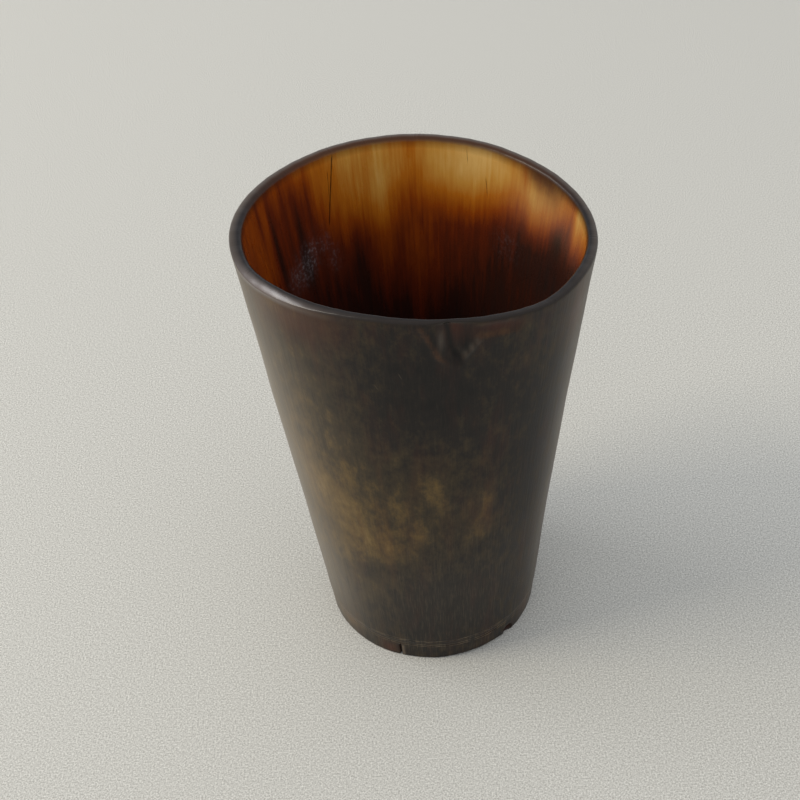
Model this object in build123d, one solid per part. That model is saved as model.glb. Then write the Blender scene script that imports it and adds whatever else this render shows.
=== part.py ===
"""Horn drinking cup: a tapered tube of pressed cattle horn, closed by a horn disc sprung into a groove.

Millimetres, +Z up. The origin is on the table, at the centre of the foot. +X is to the right of someone
who faces the cup from -Y.
"""
from build123d import *
import os
from math import atan2, cos, degrees, radians, sin

# Outside of the horn
HEIGHT = 110.0           # table to the rim, on average round the rim
FOOT_RADIUS = 25.4       # outside, on the table
RIM_RADIUS = 36.1        # outside, average of the oval
RIM_OVAL = 1.4           # half-width beyond the average at the rim, and as much short front to back
LEAN = 1.5               # the rim's centre stands this far to the left of the foot's
HORN_BOW = 0.15          # the centre line bows this far to the left at mid-height
WAIST = 0.2              # the side is this far inside a straight taper at mid-height

# Wall
FOOT_WALL = 3.6
RIM_WALL = 2.6
RIM_ROUND = 0.9          # worn edges of the rim
FOOT_ROUND = 0.35        # worn outer edge of the foot
FOOT_BEVEL = 0.8         # bevel inside the foot, over which the disc was sprung in

# Rim line, which follows the horn and not a plane
RIM_SAG = 2.1            # left and right lie this much lower than front and back
RIM_SAG_TURN = -12.5     # the low sides are turned by this much from left and right, from +X towards +Y
RIM_DIP = 1.8            # the rim dips by this much on one side
RIM_DIP_ANGLE = 26.0     # where it dips, from +X towards +Y

# Base disc and its groove
CHIME = 4.9              # table to the underside of the disc
DISC_THICKNESS = 2.6
DISC_EDGE = 1.0          # thickness left at the bevelled edge
DISC_BEVEL = 2.6         # width of the bevel
GROOVE_DEPTH = 1.2       # how far the disc's edge reaches into the wall
GROOVE_CLEARANCE = 0.05  # all round the disc's edge

# Wax seal in the corner above the disc
SEAL_HEIGHT = 1.8
SEAL_WIDTH = 1.6
SEAL_CLEARANCE = 0.05

# Two lines scribed round the outside, either side of the groove's level
SCRIBE_HEIGHTS = (5.2, 7.1)
SCRIBE_DEPTH = 0.25
SCRIBE_WIDTH = 0.6

# Old damage to the foot
SPLIT_ANGLE = -110.0     # the wall has split here, from the table to just short of the lines
SPLIT_HEIGHT = 4.5
SPLIT_WIDTH = 0.5
CHIP_ANGLE = -46.5       # a flake has broken off the edge here
CHIP_RADIUS = 1.8
CHIP_OUT = 0.7           # the hollow's centre is this far outside the wall
CHIP_HEIGHT = 1.3        # and this far above the table

# Cutting tools reach this far past the piece that they cut
REACH = 4.0
# Levels at which the horn's shape is drawn, as shares of the length that is drawn
LEVELS = (0.0, 0.35, 0.7, 1.0)


def share(z):
    """How far up the cup a height is, from 0 on the table to 1 at the rim."""
    return z / HEIGHT


def bow(z):
    """0 at the table and the rim, 1 halfway."""
    return 4 * share(z) * (1 - share(z))


def centre_x(z):
    """Where the horn's centre line is at a height."""
    return -HORN_BOW * bow(z) - LEAN * share(z)


def outer_radius(z):
    """The average outside radius at a height."""
    return FOOT_RADIUS + (RIM_RADIUS - FOOT_RADIUS) * share(z) - WAIST * bow(z)


def no_inset(z):
    """The horn's own outside."""
    return 0.0


def wall_at(z):
    """The thickness of the wall at a height."""
    return FOOT_WALL + (RIM_WALL - FOOT_WALL) * share(z)


def seal_inset(z):
    """How far inside the horn's outside the wax starts at a height."""
    return wall_at(z) + SEAL_CLEARANCE


def oval_at(z):
    """How much the half-width differs from the average radius at a height. The foot is round."""
    return RIM_OVAL * share(z)


def section(z, inset=0.0):
    """The horn's outline at a height, drawn in by an inset."""
    radius = outer_radius(z) - inset
    return Pos(centre_x(z), 0, z) * Ellipse(radius + oval_at(z), radius - oval_at(z))


def horn_form(inset_at):
    """The solid inside the horn's outline, drawn in by inset_at(height), past both ends of the cup."""
    low, high = -REACH, HEIGHT + REACH
    levels = [low + (high - low) * level for level in LEVELS]
    return loft([section(z, inset_at(z)) for z in levels])


def slab(low, high):
    """A block from one height to another, wider than the cup."""
    side = 2 * (RIM_RADIUS + RIM_OVAL + LEAN + REACH)
    return Pos(0, 0, low) * Box(side, side, high - low, align=(Align.CENTER, Align.CENTER, Align.MIN))


def above_rim():
    """What is cut away above the rim: a block with an arched underside, tilted to where the rim dips."""
    half_width = RIM_RADIUS + RIM_OVAL
    reach = half_width + REACH
    crown = HEIGHT + RIM_SAG / 2
    side = crown - RIM_SAG * (reach / half_width) ** 2
    top = HEIGHT + 3 * REACH
    arch = ThreePointArc((-reach, side), (0, crown), (reach, side))
    frame = Polyline((reach, side), (reach, top), (-reach, top), (-reach, side))
    block = extrude(Plane.XZ * make_face([arch, frame]), reach, both=True)
    block = Pos(centre_x(HEIGHT), 0, 0) * Rot(0, 0, RIM_SAG_TURN) * block
    hinge = (-sin(radians(RIM_DIP_ANGLE)), cos(radians(RIM_DIP_ANGLE)), 0)
    return block.rotate(Axis((centre_x(HEIGHT), 0, HEIGHT), hinge), degrees(atan2(RIM_DIP, RIM_RADIUS)))


def disc_form(clearance=0.0):
    """The base disc, bevelled on both faces and grown by a clearance, with its seam at the left."""
    middle = CHIME + DISC_THICKNESS / 2
    edge = outer_radius(middle) - wall_at(middle) + GROOVE_DEPTH + clearance
    thick = DISC_THICKNESS / 2 + clearance
    thin = DISC_EDGE / 2 + clearance
    upper = [(0, thick), (edge - DISC_BEVEL, thick), (edge, thin)]
    lower = [(r, -z) for r, z in reversed(upper)]
    profile = Polyline(*upper, *lower, close=True)
    return Pos(centre_x(middle), 0, middle) * Rot(0, 0, 180) * revolve(Plane.XZ * make_face(profile), Axis.Z)


def scribed_line(z):
    """The ring of V-shaped section that a scribed line takes off the outside, with its seam at the back."""
    bottom = outer_radius(z) - SCRIBE_DEPTH
    mouth = outer_radius(z) + SCRIBE_DEPTH
    profile = Polyline((bottom, 0), (mouth, -SCRIBE_WIDTH), (mouth, SCRIBE_WIDTH), close=True)
    return Pos(centre_x(z), 0, z) * Rot(0, 0, 90) * revolve(Plane.XZ * make_face(profile), Axis.Z)


def foot_split():
    """The gap of the split at the foot."""
    gap = Box(2 * FOOT_WALL, SPLIT_WIDTH, SPLIT_HEIGHT + REACH, align=(Align.CENTER, Align.CENTER, Align.MAX))
    return Rot(0, 0, SPLIT_ANGLE) * Pos(FOOT_RADIUS - FOOT_WALL / 2, 0, SPLIT_HEIGHT) * gap


def foot_chip():
    """The hollow where a flake has broken off the foot's outer edge: a ball with its poles along the edge."""
    ball = Rot(90, 0, 0) * Sphere(CHIP_RADIUS)
    return Rot(0, 0, CHIP_ANGLE) * Pos(FOOT_RADIUS + CHIP_OUT, 0, CHIP_HEIGHT) * ball


def foot_edges(tube):
    """The edges that lie at the table, the shortest first."""
    return tube.edges().filter_by(lambda edge: edge.bounding_box().max.Z < REACH).sort_by(SortBy.LENGTH)


def horn_wall():
    """The horn tube, with its worn rim, its groove, its scribed lines and the damage to its foot."""
    tube = horn_form(no_inset) - horn_form(wall_at) - slab(-2 * REACH, 0) - above_rim()
    rim_edges = tube.edges().filter_by(lambda edge: edge.bounding_box().min.Z > HEIGHT / 2)
    tube = fillet(rim_edges, RIM_ROUND)
    tube = chamfer(foot_edges(tube)[0], FOOT_BEVEL)
    tube = fillet(foot_edges(tube)[-1], FOOT_ROUND)
    tube -= disc_form(GROOVE_CLEARANCE)
    for z in SCRIBE_HEIGHTS:
        tube -= scribed_line(z)
    return tube - foot_split() - foot_chip()


def base_disc():
    """The horn disc that closes the cup."""
    return disc_form()


def base_seal():
    """The bead of wax in the corner between the disc and the wall."""
    low = CHIME + DISC_THICKNESS + SEAL_CLEARANCE
    high = low + SEAL_HEIGHT
    hollow = loft([section(low, seal_inset(low) + SEAL_WIDTH), section(high, seal_inset(high))], ruled=True)
    return (horn_form(seal_inset) & slab(low, high)) - hollow


def main():
    os.makedirs("parts", exist_ok=True)
    pieces = {"horn_wall": horn_wall(), "base_disc": base_disc(), "base_seal": base_seal()}
    for name, piece in pieces.items():
        export_step(piece, f"parts/{name}.step")
        print(name, "volume", round(piece.volume), "size", piece.bounding_box().size)


if __name__ == "__main__":
    main()
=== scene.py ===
"""Horn drinking cup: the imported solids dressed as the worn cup, on a pale floor in soft daylight.

The frame is that of the solids: +Z up, the origin on the table at the centre of the foot, -Y towards the
viewer. Shapes are worked out in millimetres and handed to Blender in metres. Angles are in degrees, from
+X towards +Y, so that -90 is the front.
"""
from math import cos, pi, radians, sin

import bpy
import numpy as np
from mathutils import Matrix, Vector


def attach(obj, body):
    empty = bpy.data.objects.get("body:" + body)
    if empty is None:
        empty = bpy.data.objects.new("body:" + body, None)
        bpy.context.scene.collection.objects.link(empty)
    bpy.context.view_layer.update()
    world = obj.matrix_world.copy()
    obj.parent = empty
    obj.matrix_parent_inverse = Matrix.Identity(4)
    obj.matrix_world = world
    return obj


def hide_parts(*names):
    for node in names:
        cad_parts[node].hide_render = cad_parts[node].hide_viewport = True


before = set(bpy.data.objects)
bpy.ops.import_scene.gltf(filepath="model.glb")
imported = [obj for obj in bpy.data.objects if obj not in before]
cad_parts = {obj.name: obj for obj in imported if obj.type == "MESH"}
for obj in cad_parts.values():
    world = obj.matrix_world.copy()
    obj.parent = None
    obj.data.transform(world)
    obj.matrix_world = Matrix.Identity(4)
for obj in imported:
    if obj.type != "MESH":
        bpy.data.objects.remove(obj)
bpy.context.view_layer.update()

MM = 0.001

# Camera, fitted to the outline in the photograph
CAMERA_PLACE = (-5.97, -234.45, 274.33)
CAMERA_ELEVATION = 42.17
CAMERA_ROLL = -2.876
CAMERA_LENS = 63.0
CAMERA_SENSOR = 36.0
CAMERA_NEAR = 10.0       # what is nearer than this isn't drawn

# Daylight in the room, and the paper that the cup stands on
ROOM_COLOUR = "#f4f8ff"
ROOM_LEVEL = 0.75
# Windows: name, place, what it faces and side, all in metres, colour, watts
WINDOWS = (
    ("window", (-1.50, -0.26, 1.74), (0.0, 0.0, 0.05), 0.7, "#fff6e4", 16.8),
    ("far_window", (-0.95, 0.33, 0.98), (0.0, 0.0, 0.08), 0.5, "#f8faff", 3.4),
)
FLOOR_RADIUS = 3.0       # metres
FLOOR_SIDES = 96

# The horn's own form, as in the solids
HEIGHT = 110.0
FOOT_RADIUS = 25.4
RIM_RADIUS = 36.1
RIM_OVAL = 1.4
LEAN = 1.5
HORN_BOW = 0.15
WAIST = 0.2
FOOT_WALL = 3.6
RIM_WALL = 2.6
RIM_ROUND = 0.9
FOOT_ROUND = 0.35
FOOT_BEVEL = 0.8
RIM_SAG = 2.1
RIM_SAG_TURN = -12.5
RIM_DIP = 1.8
RIM_DIP_ANGLE = 26.0
RIM_REACH = 45.0         # the rim's ups and downs fade out this far below it
RIM_FULL = 3.0           # and are full from this far below it

# The scribed lines, the base disc with its groove, and the wax
SCRIBE_HEIGHTS = (5.2, 7.1)
SCRIBE_DEPTH = 0.25
SCRIBE_WIDTH = 0.6
CHIME = 4.9
DISC_THICKNESS = 2.6
DISC_EDGE = 1.0
DISC_BEVEL = 2.6
DISC_SOFT = 0.15         # wear of the disc's edge
GROOVE_DEPTH = 1.2
GROOVE_CLEARANCE = 0.05
SEAL_HEIGHT = 1.8
SEAL_WIDTH = 1.6
SEAL_CLEARANCE = 0.05
SEAL_SINK = 0.22         # the share by which the wax shrank at the middle of its face
SEAL_FACE = (0.06, 0.94)  # the face runs between these shares of the way from corner to corner
SEAL_CORNER = 0.9        # the share of the wax's height and width at which its soft corners start

# Rows of the wall's mesh: the rim and the foot, where the damage is, have fine ones
COLUMNS = 520
FINE_FOOT = 9.0          # outside, rows are fine up to this height, and again from FINE_RIM
FINE_RIM = 88.0
FOOT_STEP = 0.3
RIM_STEP = 0.5
PLAIN_STEP = 3.0
INNER_RIM = 95.0         # inside, rows are finer from this height up, and from INNER_FOOT down
INNER_FOOT = 14.0
INNER_RIM_STEP = 1.5
INNER_FOOT_STEP = 1.0
CHIME_STEP = 0.6         # below the disc
# Points of a quarter round, across the foot, from the disc's middle to its bevel, and on the wax's face
ROUND_STEPS = 6
FOOT_RINGS = 9
DISC_RINGS = 16
SEAL_POINTS = 12
# Points down the disc's bevel, as shares of its width from the edge
BEVEL_SHARES = (0.75, 0.5, 0.25, 0.15)
MERGE_GAP = 0.002        # points nearer than this are joined, which closes the seams

# Hand-worked unevenness of the horn
UNEVEN = 0.35            # the outside strays this far from its rule
UNEVEN_SIZE = 28.0
UNEVEN_SEED = 3.0
# Waves that make up a ragged line round the cup: how many, and how large
RAGGED_WAVES = ((3, 0.35), (7, 0.3), (13, 0.3), (29, 0.25), (61, 0.25))

# Local changes of the rim: angle, half-width in degrees, amount
RIM_RISES = ((-100, 20, 0.4), (-47, 14, -0.9), (-160, 13, -0.8))
RIM_THINS = ((-75, 42, 0.9), (4, 26, 0.45))  # the lip is worn thin on its inside
RIM_BEVELS = ((-143, 21, 1.0),)              # the outer edge is worn down to a polished slope
RIM_RAGGED = 0.08
LIP_REACH = 14.0         # the lip is thinned from this far below the rim
LIP_FULL = 2.0           # and fully from this far below it
BEVEL_WIDTH = 1.7
BEVEL_TILT = 35.0
BEVEL_SOFT = 0.6         # how softly the slope runs into the wall below it
# The slope's polish fades out between these depths into the wall, and these distances below the rim
POLISH_DEPTH = (BEVEL_WIDTH - 0.8, BEVEL_WIDTH - 0.1)
POLISH_DOWN = (1.2, 2.4)
POLISH_FALL = 1.5        # towards its ends it fades faster than the slope, by this power


def paint(code):
    """A colour written as sRGB hex, as linear RGBA."""
    parts = [int(code[i:i + 2], 16) / 255 for i in (1, 3, 5)]
    linear = [c / 12.92 if c <= 0.04045 else ((c + 0.055) / 1.055) ** 2.4 for c in parts]
    return (*linear, 1.0)


def add(tree, kind, inputs=(), stops=(), **settings):
    """Adds a node with its settings, and with its stops, of place and colour, if it is a colour ramp.

    The inputs that it shows get plain values or links from nodes and sockets.
    """
    node = tree.nodes.new(kind)
    for name, value in settings.items():
        setattr(node, name, value)
    for place, code in stops[2:]:
        node.color_ramp.elements.new(place)
    for i, (place, code) in enumerate(stops):
        node.color_ramp.elements[i].position = place
        node.color_ramp.elements[i].color = paint(code)
    shown = [socket for socket in node.inputs if socket.enabled]
    pairs = inputs.items() if isinstance(inputs, dict) else enumerate(inputs)
    for key, value in pairs:
        socket = shown[key] if isinstance(key, int) else next(s for s in shown if s.name == key)
        if isinstance(value, bpy.types.Node):
            value = next(s for s in value.outputs if s.enabled)
        if isinstance(value, bpy.types.NodeSocket):
            tree.links.new(value, socket)
        else:
            socket.default_value = value
    return node


def smooth(value, low, high):
    """0 below low, 1 above high, with a soft step between them."""
    t = np.clip((value - low) / (high - low), 0, 1)
    return t * t * (3 - 2 * t)


def fade(value, low, high):
    """1 below low, 0 above high, with a soft step between them."""
    return 1 - smooth(value, low, high)


def soft(off, half_width, power=2):
    """1 on a line, falling softly to either side of it. A higher power is flatter on top."""
    return np.exp(-(off / half_width) ** power)


def wall_at(height):
    """The thickness of the wall at a height."""
    return FOOT_WALL + (RIM_WALL - FOOT_WALL) * height / HEIGHT


def outer_radius(height):
    """The average outside radius at a height."""
    share = height / HEIGHT
    return FOOT_RADIUS + (RIM_RADIUS - FOOT_RADIUS) * share - WAIST * 4 * share * (1 - share)


# Sections: lists of (depth in from the outside, height)

def steps(low, high, step):
    """Even heights from low to just short of high, about a step apart."""
    return np.linspace(low, high, max(2, round(abs(high - low) / step)), endpoint=False)


def rounding(depth, height, radius, first):
    """Points of a quarter round about a centre, from a first angle, going clockwise as depth runs right."""
    turns = [radians(first - 90 * i / ROUND_STEPS) for i in range(ROUND_STEPS)]
    return [(depth + radius * cos(t), height + radius * sin(t)) for t in turns]


def scribed(height):
    """The depth of the outside at a height, in a scribed line or not."""
    near = min(abs(height - z) for z in SCRIBE_HEIGHTS)
    return SCRIBE_DEPTH * max(0.0, 1 - near / (SCRIBE_WIDTH / 2))


def wall_section():
    """The wall cut through: up the outside, over the rim, down the inside with its groove, to the foot."""
    outside = [*steps(FOOT_ROUND, FINE_FOOT, FOOT_STEP), *SCRIBE_HEIGHTS]
    outside += [z + side * SCRIBE_WIDTH / 2 for z in SCRIBE_HEIGHTS for side in (-1, 1)]
    outside = sorted({round(float(z), 3) for z in outside})
    outside += [*steps(FINE_FOOT, FINE_RIM, PLAIN_STEP), *steps(FINE_RIM, HEIGHT - RIM_ROUND, RIM_STEP)]
    points = rounding(FOOT_ROUND, FOOT_ROUND, FOOT_ROUND, 270)
    points += [(scribed(z), z) for z in outside]
    points += rounding(RIM_ROUND, HEIGHT - RIM_ROUND, RIM_ROUND, 180)
    points += rounding(RIM_WALL - RIM_ROUND, HEIGHT - RIM_ROUND, RIM_ROUND, 90)
    middle = CHIME + DISC_THICKNESS / 2
    slope = (DISC_THICKNESS - DISC_EDGE) / 2 / DISC_BEVEL
    lip = DISC_EDGE / 2 + GROOVE_CLEARANCE
    mouth = lip + slope * (GROOVE_DEPTH + GROOVE_CLEARANCE)
    inside = [*steps(HEIGHT - RIM_ROUND, INNER_RIM, INNER_RIM_STEP)]
    inside += [*steps(INNER_RIM, INNER_FOOT, PLAIN_STEP)]
    inside += [*steps(INNER_FOOT, middle + mouth, INNER_FOOT_STEP), middle + mouth]
    points += [(wall_at(z), z) for z in inside]
    points += [(wall_at(z) - GROOVE_DEPTH - GROOVE_CLEARANCE, z) for z in (middle + lip, middle - lip)]
    points += [(wall_at(z), z) for z in steps(middle - mouth, FOOT_BEVEL, CHIME_STEP)]
    points += [(wall_at(0), FOOT_BEVEL)]
    points += [(depth, 0.0) for depth in np.linspace(wall_at(0) - FOOT_BEVEL, FOOT_ROUND, FOOT_RINGS)]
    return points


def disc_section():
    """Half the base disc cut through: from the middle of its top, round its edge, to the middle below."""
    middle = CHIME + DISC_THICKNESS / 2
    edge = wall_at(middle) - GROOVE_DEPTH
    thick, thin = DISC_THICKNESS / 2, DISC_EDGE / 2
    rings = np.linspace(0, 1, DISC_RINGS)
    bevel = [(edge + DISC_BEVEL * t, thin + (thick - thin) * t) for t in BEVEL_SHARES]
    bevel += [(edge, thin - DISC_SOFT)]
    points = []
    for side in (1, -1):
        axis = outer_radius(middle + side * thick)
        face = [(axis + (edge + DISC_BEVEL - axis) * t, thick) for t in rings] + bevel
        points += [(depth, middle + side * z) for depth, z in face[::side]]
    return points


def seal_section():
    """The bead of wax cut through: a hollow fillet, which shrank as it set, with soft corners."""
    low = CHIME + DISC_THICKNESS + SEAL_CLEARANCE
    wall = wall_at(low) + SEAL_CLEARANCE
    face = []
    for t in np.linspace(*SEAL_FACE, SEAL_POINTS):
        sink = SEAL_SINK * 4 * t * (1 - t)
        face.append((wall + SEAL_WIDTH * t * (1 - sink), low + SEAL_HEIGHT * (1 - t) * (1 - sink)))
    upper = (wall, low + SEAL_HEIGHT * SEAL_CORNER)
    lower = (wall + SEAL_WIDTH * SEAL_CORNER, low)
    return [(wall, low), upper, *face, lower, (wall, low)]


# The tree that turns a section round the horn

TREE_SIZES = {
    "Columns": COLUMNS,
    "Height": HEIGHT * MM,
    "Foot Radius": FOOT_RADIUS * MM,
    "Rim Radius": RIM_RADIUS * MM,
    "Rim Oval": RIM_OVAL * MM,
    "Waist": WAIST * MM,
    "Lean": LEAN * MM,
    "Bow": HORN_BOW * MM,
    "Rim Sag": RIM_SAG * MM,
    "Sag Direction": (cos(radians(RIM_SAG_TURN)), sin(radians(RIM_SAG_TURN)), 0.0),
    "Rim Dip": RIM_DIP * MM,
    "Dip Direction": (cos(radians(RIM_DIP_ANGLE)), sin(radians(RIM_DIP_ANGLE)), 0.0),
    "Rim Reach": RIM_REACH * MM,
    "Uneven": UNEVEN * MM,
    "Uneven Size": UNEVEN_SIZE * MM,
    "Seed": UNEVEN_SEED,
}


def section_grid(tree, size):
    """A flat grid, and at each of its points an angle round the cup, and the section's depth and height.

    Across the grid runs the angle, and up it runs the section.
    """
    points = add(tree, "GeometryNodeAttributeDomainSize", {"Geometry": size["Section"]}, component="MESH")
    columns = add(tree, "ShaderNodeMath", (size["Columns"], 1.0), operation="ADD")
    grid = add(tree, "GeometryNodeMeshGrid", (1.0, 1.0, columns, points.outputs["Point Count"]))
    place = add(tree, "ShaderNodeSeparateXYZ", (add(tree, "GeometryNodeInputPosition"),))
    angle = add(tree, "ShaderNodeMath", (place.outputs["X"], 2 * pi, -pi / 2), operation="MULTIPLY_ADD")
    last = add(tree, "ShaderNodeMath", (points.outputs["Point Count"], 1.0), operation="SUBTRACT")
    upward = add(tree, "ShaderNodeMath", (place.outputs["Y"], 0.5), operation="ADD")
    row = add(tree, "ShaderNodeMath", (upward, last), operation="MULTIPLY")
    index = add(tree, "FunctionNodeFloatToInt", (row,), rounding_mode="ROUND")
    drawn = add(
        tree, "GeometryNodeSampleIndex",
        {"Geometry": size["Section"], "Value": add(tree, "GeometryNodeInputPosition"), "Index": index},
        data_type="FLOAT_VECTOR", domain="POINT",
    )
    section = add(tree, "ShaderNodeSeparateXYZ", (drawn,)).outputs
    return grid, angle, section["X"], section["Z"]


def rim_lift(tree, size, cosine, sine):
    """How far the rim lies above its average height at an angle: it sags to both sides and dips to one."""
    wide = add(tree, "ShaderNodeMath", (size["Rim Radius"], size["Rim Oval"]), operation="ADD")
    narrow = add(tree, "ShaderNodeMath", (size["Rim Radius"], size["Rim Oval"]), operation="SUBTRACT")
    rim_x = add(tree, "ShaderNodeMath", (cosine, wide), operation="MULTIPLY")
    rim_y = add(tree, "ShaderNodeMath", (sine, narrow), operation="MULTIPLY")
    rim_place = add(tree, "ShaderNodeCombineXYZ", (rim_x, rim_y, 0.0))
    across = add(tree, "ShaderNodeVectorMath", (rim_place, size["Sag Direction"]), operation="DOT_PRODUCT")
    part = add(tree, "ShaderNodeMath", (across, wide), operation="DIVIDE")
    square = add(tree, "ShaderNodeMath", (part, part), operation="MULTIPLY")
    about = add(tree, "ShaderNodeMath", (0.5, square), operation="SUBTRACT")
    sag = add(tree, "ShaderNodeMath", (about, size["Rim Sag"]), operation="MULTIPLY")
    along = add(tree, "ShaderNodeVectorMath", (rim_place, size["Dip Direction"]), operation="DOT_PRODUCT")
    tilt = add(tree, "ShaderNodeMath", (size["Rim Dip"], size["Rim Radius"]), operation="DIVIDE")
    dip = add(tree, "ShaderNodeMath", (along, tilt), operation="MULTIPLY")
    return add(tree, "ShaderNodeMath", (sag, dip), operation="SUBTRACT")


def turning_tree():
    """Turns a section, drawn as points of (depth, 0, height), round the leaning, bowed and oval horn."""
    tree = bpy.data.node_groups.new("turned_round_the_horn", "GeometryNodeTree")
    tree.interface.new_socket("Section", in_out="INPUT", socket_type="NodeSocketGeometry")
    for name, value in TREE_SIZES.items():
        kind = {int: "Int", float: "Float", tuple: "Vector"}[type(value)]
        tree.interface.new_socket(name, in_out="INPUT", socket_type="NodeSocket" + kind)
    tree.interface.new_socket("Material", in_out="INPUT", socket_type="NodeSocketMaterial")
    tree.interface.new_socket("Piece", in_out="OUTPUT", socket_type="NodeSocketGeometry")
    size = add(tree, "NodeGroupInput").outputs
    grid, angle, depth, height = section_grid(tree, size)

    # The horn's outside at that height
    share = add(tree, "ShaderNodeMath", (height, size["Height"]), operation="DIVIDE")
    rest = add(tree, "ShaderNodeMath", (1.0, share), operation="SUBTRACT")
    half_bow = add(tree, "ShaderNodeMath", (share, rest), operation="MULTIPLY")
    bow = add(tree, "ShaderNodeMath", (half_bow, 4.0), operation="MULTIPLY")
    taper = add(tree, "ShaderNodeMix", (share, size["Foot Radius"], size["Rim Radius"]), clamp_factor=False)
    waist = add(tree, "ShaderNodeMath", (bow, size["Waist"]), operation="MULTIPLY")
    radius = add(tree, "ShaderNodeMath", (taper, waist), operation="SUBTRACT")
    oval = add(tree, "ShaderNodeMath", (share, size["Rim Oval"]), operation="MULTIPLY")

    # The grain runs straight up the wall: a place on it is an angle on the rim's circle and a height
    cosine = add(tree, "ShaderNodeMath", (angle,), operation="COSINE")
    sine = add(tree, "ShaderNodeMath", (angle,), operation="SINE")
    round_x = add(tree, "ShaderNodeMath", (cosine, size["Rim Radius"]), operation="MULTIPLY")
    round_y = add(tree, "ShaderNodeMath", (sine, size["Rim Radius"]), operation="MULTIPLY")
    grain = add(tree, "ShaderNodeCombineXYZ", (round_x, round_y, height))

    # Unevenness, the same for every piece at a place, so that the base still fits the wall
    waves = add(tree, "ShaderNodeMath", (1.0, size["Uneven Size"]), operation="DIVIDE")
    stray = add(
        tree, "ShaderNodeTexNoise", {"Vector": grain, "W": size["Seed"], "Scale": waves, "Detail": 2.0},
        noise_dimensions="4D",
    )
    centred = add(tree, "ShaderNodeMath", (stray.outputs[0], 0.5), operation="SUBTRACT")
    double = add(tree, "ShaderNodeMath", (size["Uneven"], 2.0), operation="MULTIPLY")
    uneven = add(tree, "ShaderNodeMath", (centred, double, radius), operation="MULTIPLY_ADD")
    inward = add(tree, "ShaderNodeMath", (depth, radius), operation="DIVIDE")
    kept = add(tree, "ShaderNodeMath", (1.0, inward), operation="SUBTRACT")

    # The rim's lift fades out down the wall
    lift = rim_lift(tree, size, cosine, sine)
    start = add(tree, "ShaderNodeMath", (size["Height"], size["Rim Reach"]), operation="SUBTRACT")
    full = add(tree, "ShaderNodeMath", (size["Height"], RIM_FULL * MM), operation="SUBTRACT")
    weight = add(
        tree, "ShaderNodeMapRange", {"Value": height, "From Min": start, "From Max": full},
        interpolation_type="SMOOTHSTEP",
    )
    level = add(tree, "ShaderNodeMath", (lift, weight, height), operation="MULTIPLY_ADD")

    # Where each point goes
    half_x = add(tree, "ShaderNodeMath", (uneven, oval), operation="ADD")
    half_y = add(tree, "ShaderNodeMath", (uneven, oval), operation="SUBTRACT")
    arm_x = add(tree, "ShaderNodeMath", (half_x, kept), operation="MULTIPLY")
    arm_y = add(tree, "ShaderNodeMath", (half_y, kept), operation="MULTIPLY")
    leaned = add(tree, "ShaderNodeMath", (share, size["Lean"]), operation="MULTIPLY")
    leftward = add(tree, "ShaderNodeMath", (bow, size["Bow"], leaned), operation="MULTIPLY_ADD")
    far = add(tree, "ShaderNodeMath", (arm_x, cosine), operation="MULTIPLY")
    x = add(tree, "ShaderNodeMath", (far, leftward), operation="SUBTRACT")
    y = add(tree, "ShaderNodeMath", (arm_y, sine), operation="MULTIPLY")
    goal = add(tree, "ShaderNodeCombineXYZ", (x, y, level))

    # Keep the grain and the depth for the materials, then put the points in place and close the seams
    piece = add(
        tree, "GeometryNodeStoreNamedAttribute", {"Geometry": grid, "Name": "grain", "Value": grain},
        data_type="FLOAT_VECTOR", domain="POINT",
    )
    piece = add(
        tree, "GeometryNodeStoreNamedAttribute", {"Geometry": piece, "Name": "depth", "Value": depth},
        data_type="FLOAT", domain="POINT",
    )
    piece = add(tree, "GeometryNodeSetPosition", {"Geometry": piece, "Position": goal})
    piece = add(tree, "GeometryNodeMergeByDistance", {"Geometry": piece, "Distance": MERGE_GAP * MM})
    piece = add(tree, "GeometryNodeSetShadeSmooth", {0: piece})
    piece = add(tree, "GeometryNodeRealizeInstances", {"Geometry": piece})
    piece = add(tree, "GeometryNodeSetMaterial", {"Geometry": piece, "Material": size["Material"]})
    add(tree, "NodeGroupOutput", (piece,))
    return tree


def turned(name, section, material, tree):
    """A piece whose section is turned round the horn, as a plain closed mesh."""
    drawing = bpy.data.meshes.new(name + "_section")
    drawing.from_pydata([(d * MM, 0.0, z * MM) for d, z in section], [], [])
    maker = bpy.data.objects.new(name + "_maker", drawing)
    bpy.context.collection.objects.link(maker)
    modifier = maker.modifiers.new("turning", "NODES")
    modifier.node_group = tree
    values = {**TREE_SIZES, "Material": material}
    for socket in tree.interface.items_tree:
        if socket.in_out == "INPUT" and socket.name in values:
            modifier[socket.identifier] = values[socket.name]
    graph = bpy.context.evaluated_depsgraph_get()
    mesh = bpy.data.meshes.new_from_object(maker.evaluated_get(graph))
    mesh.name = name
    maker.modifiers.remove(modifier)
    bpy.data.objects.remove(maker)
    bpy.data.meshes.remove(drawing)
    if signed_volume(mesh) < 0:
        mesh.flip_normals()
    piece = bpy.data.objects.new(name, mesh)
    bpy.context.collection.objects.link(piece)
    return piece


def signed_volume(mesh):
    """The volume inside a closed mesh, negative where its faces point inwards."""
    mesh.calc_loop_triangles()
    corners = np.empty(len(mesh.vertices) * 3)
    mesh.vertices.foreach_get("co", corners)
    triangles = np.empty(len(mesh.loop_triangles) * 3, dtype=int)
    mesh.loop_triangles.foreach_get("vertices", triangles)
    a, b, c = corners.reshape(-1, 3)[triangles.reshape(-1, 3)].transpose(1, 0, 2)
    return float((a * np.cross(b, c)).sum() / 6)


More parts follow.
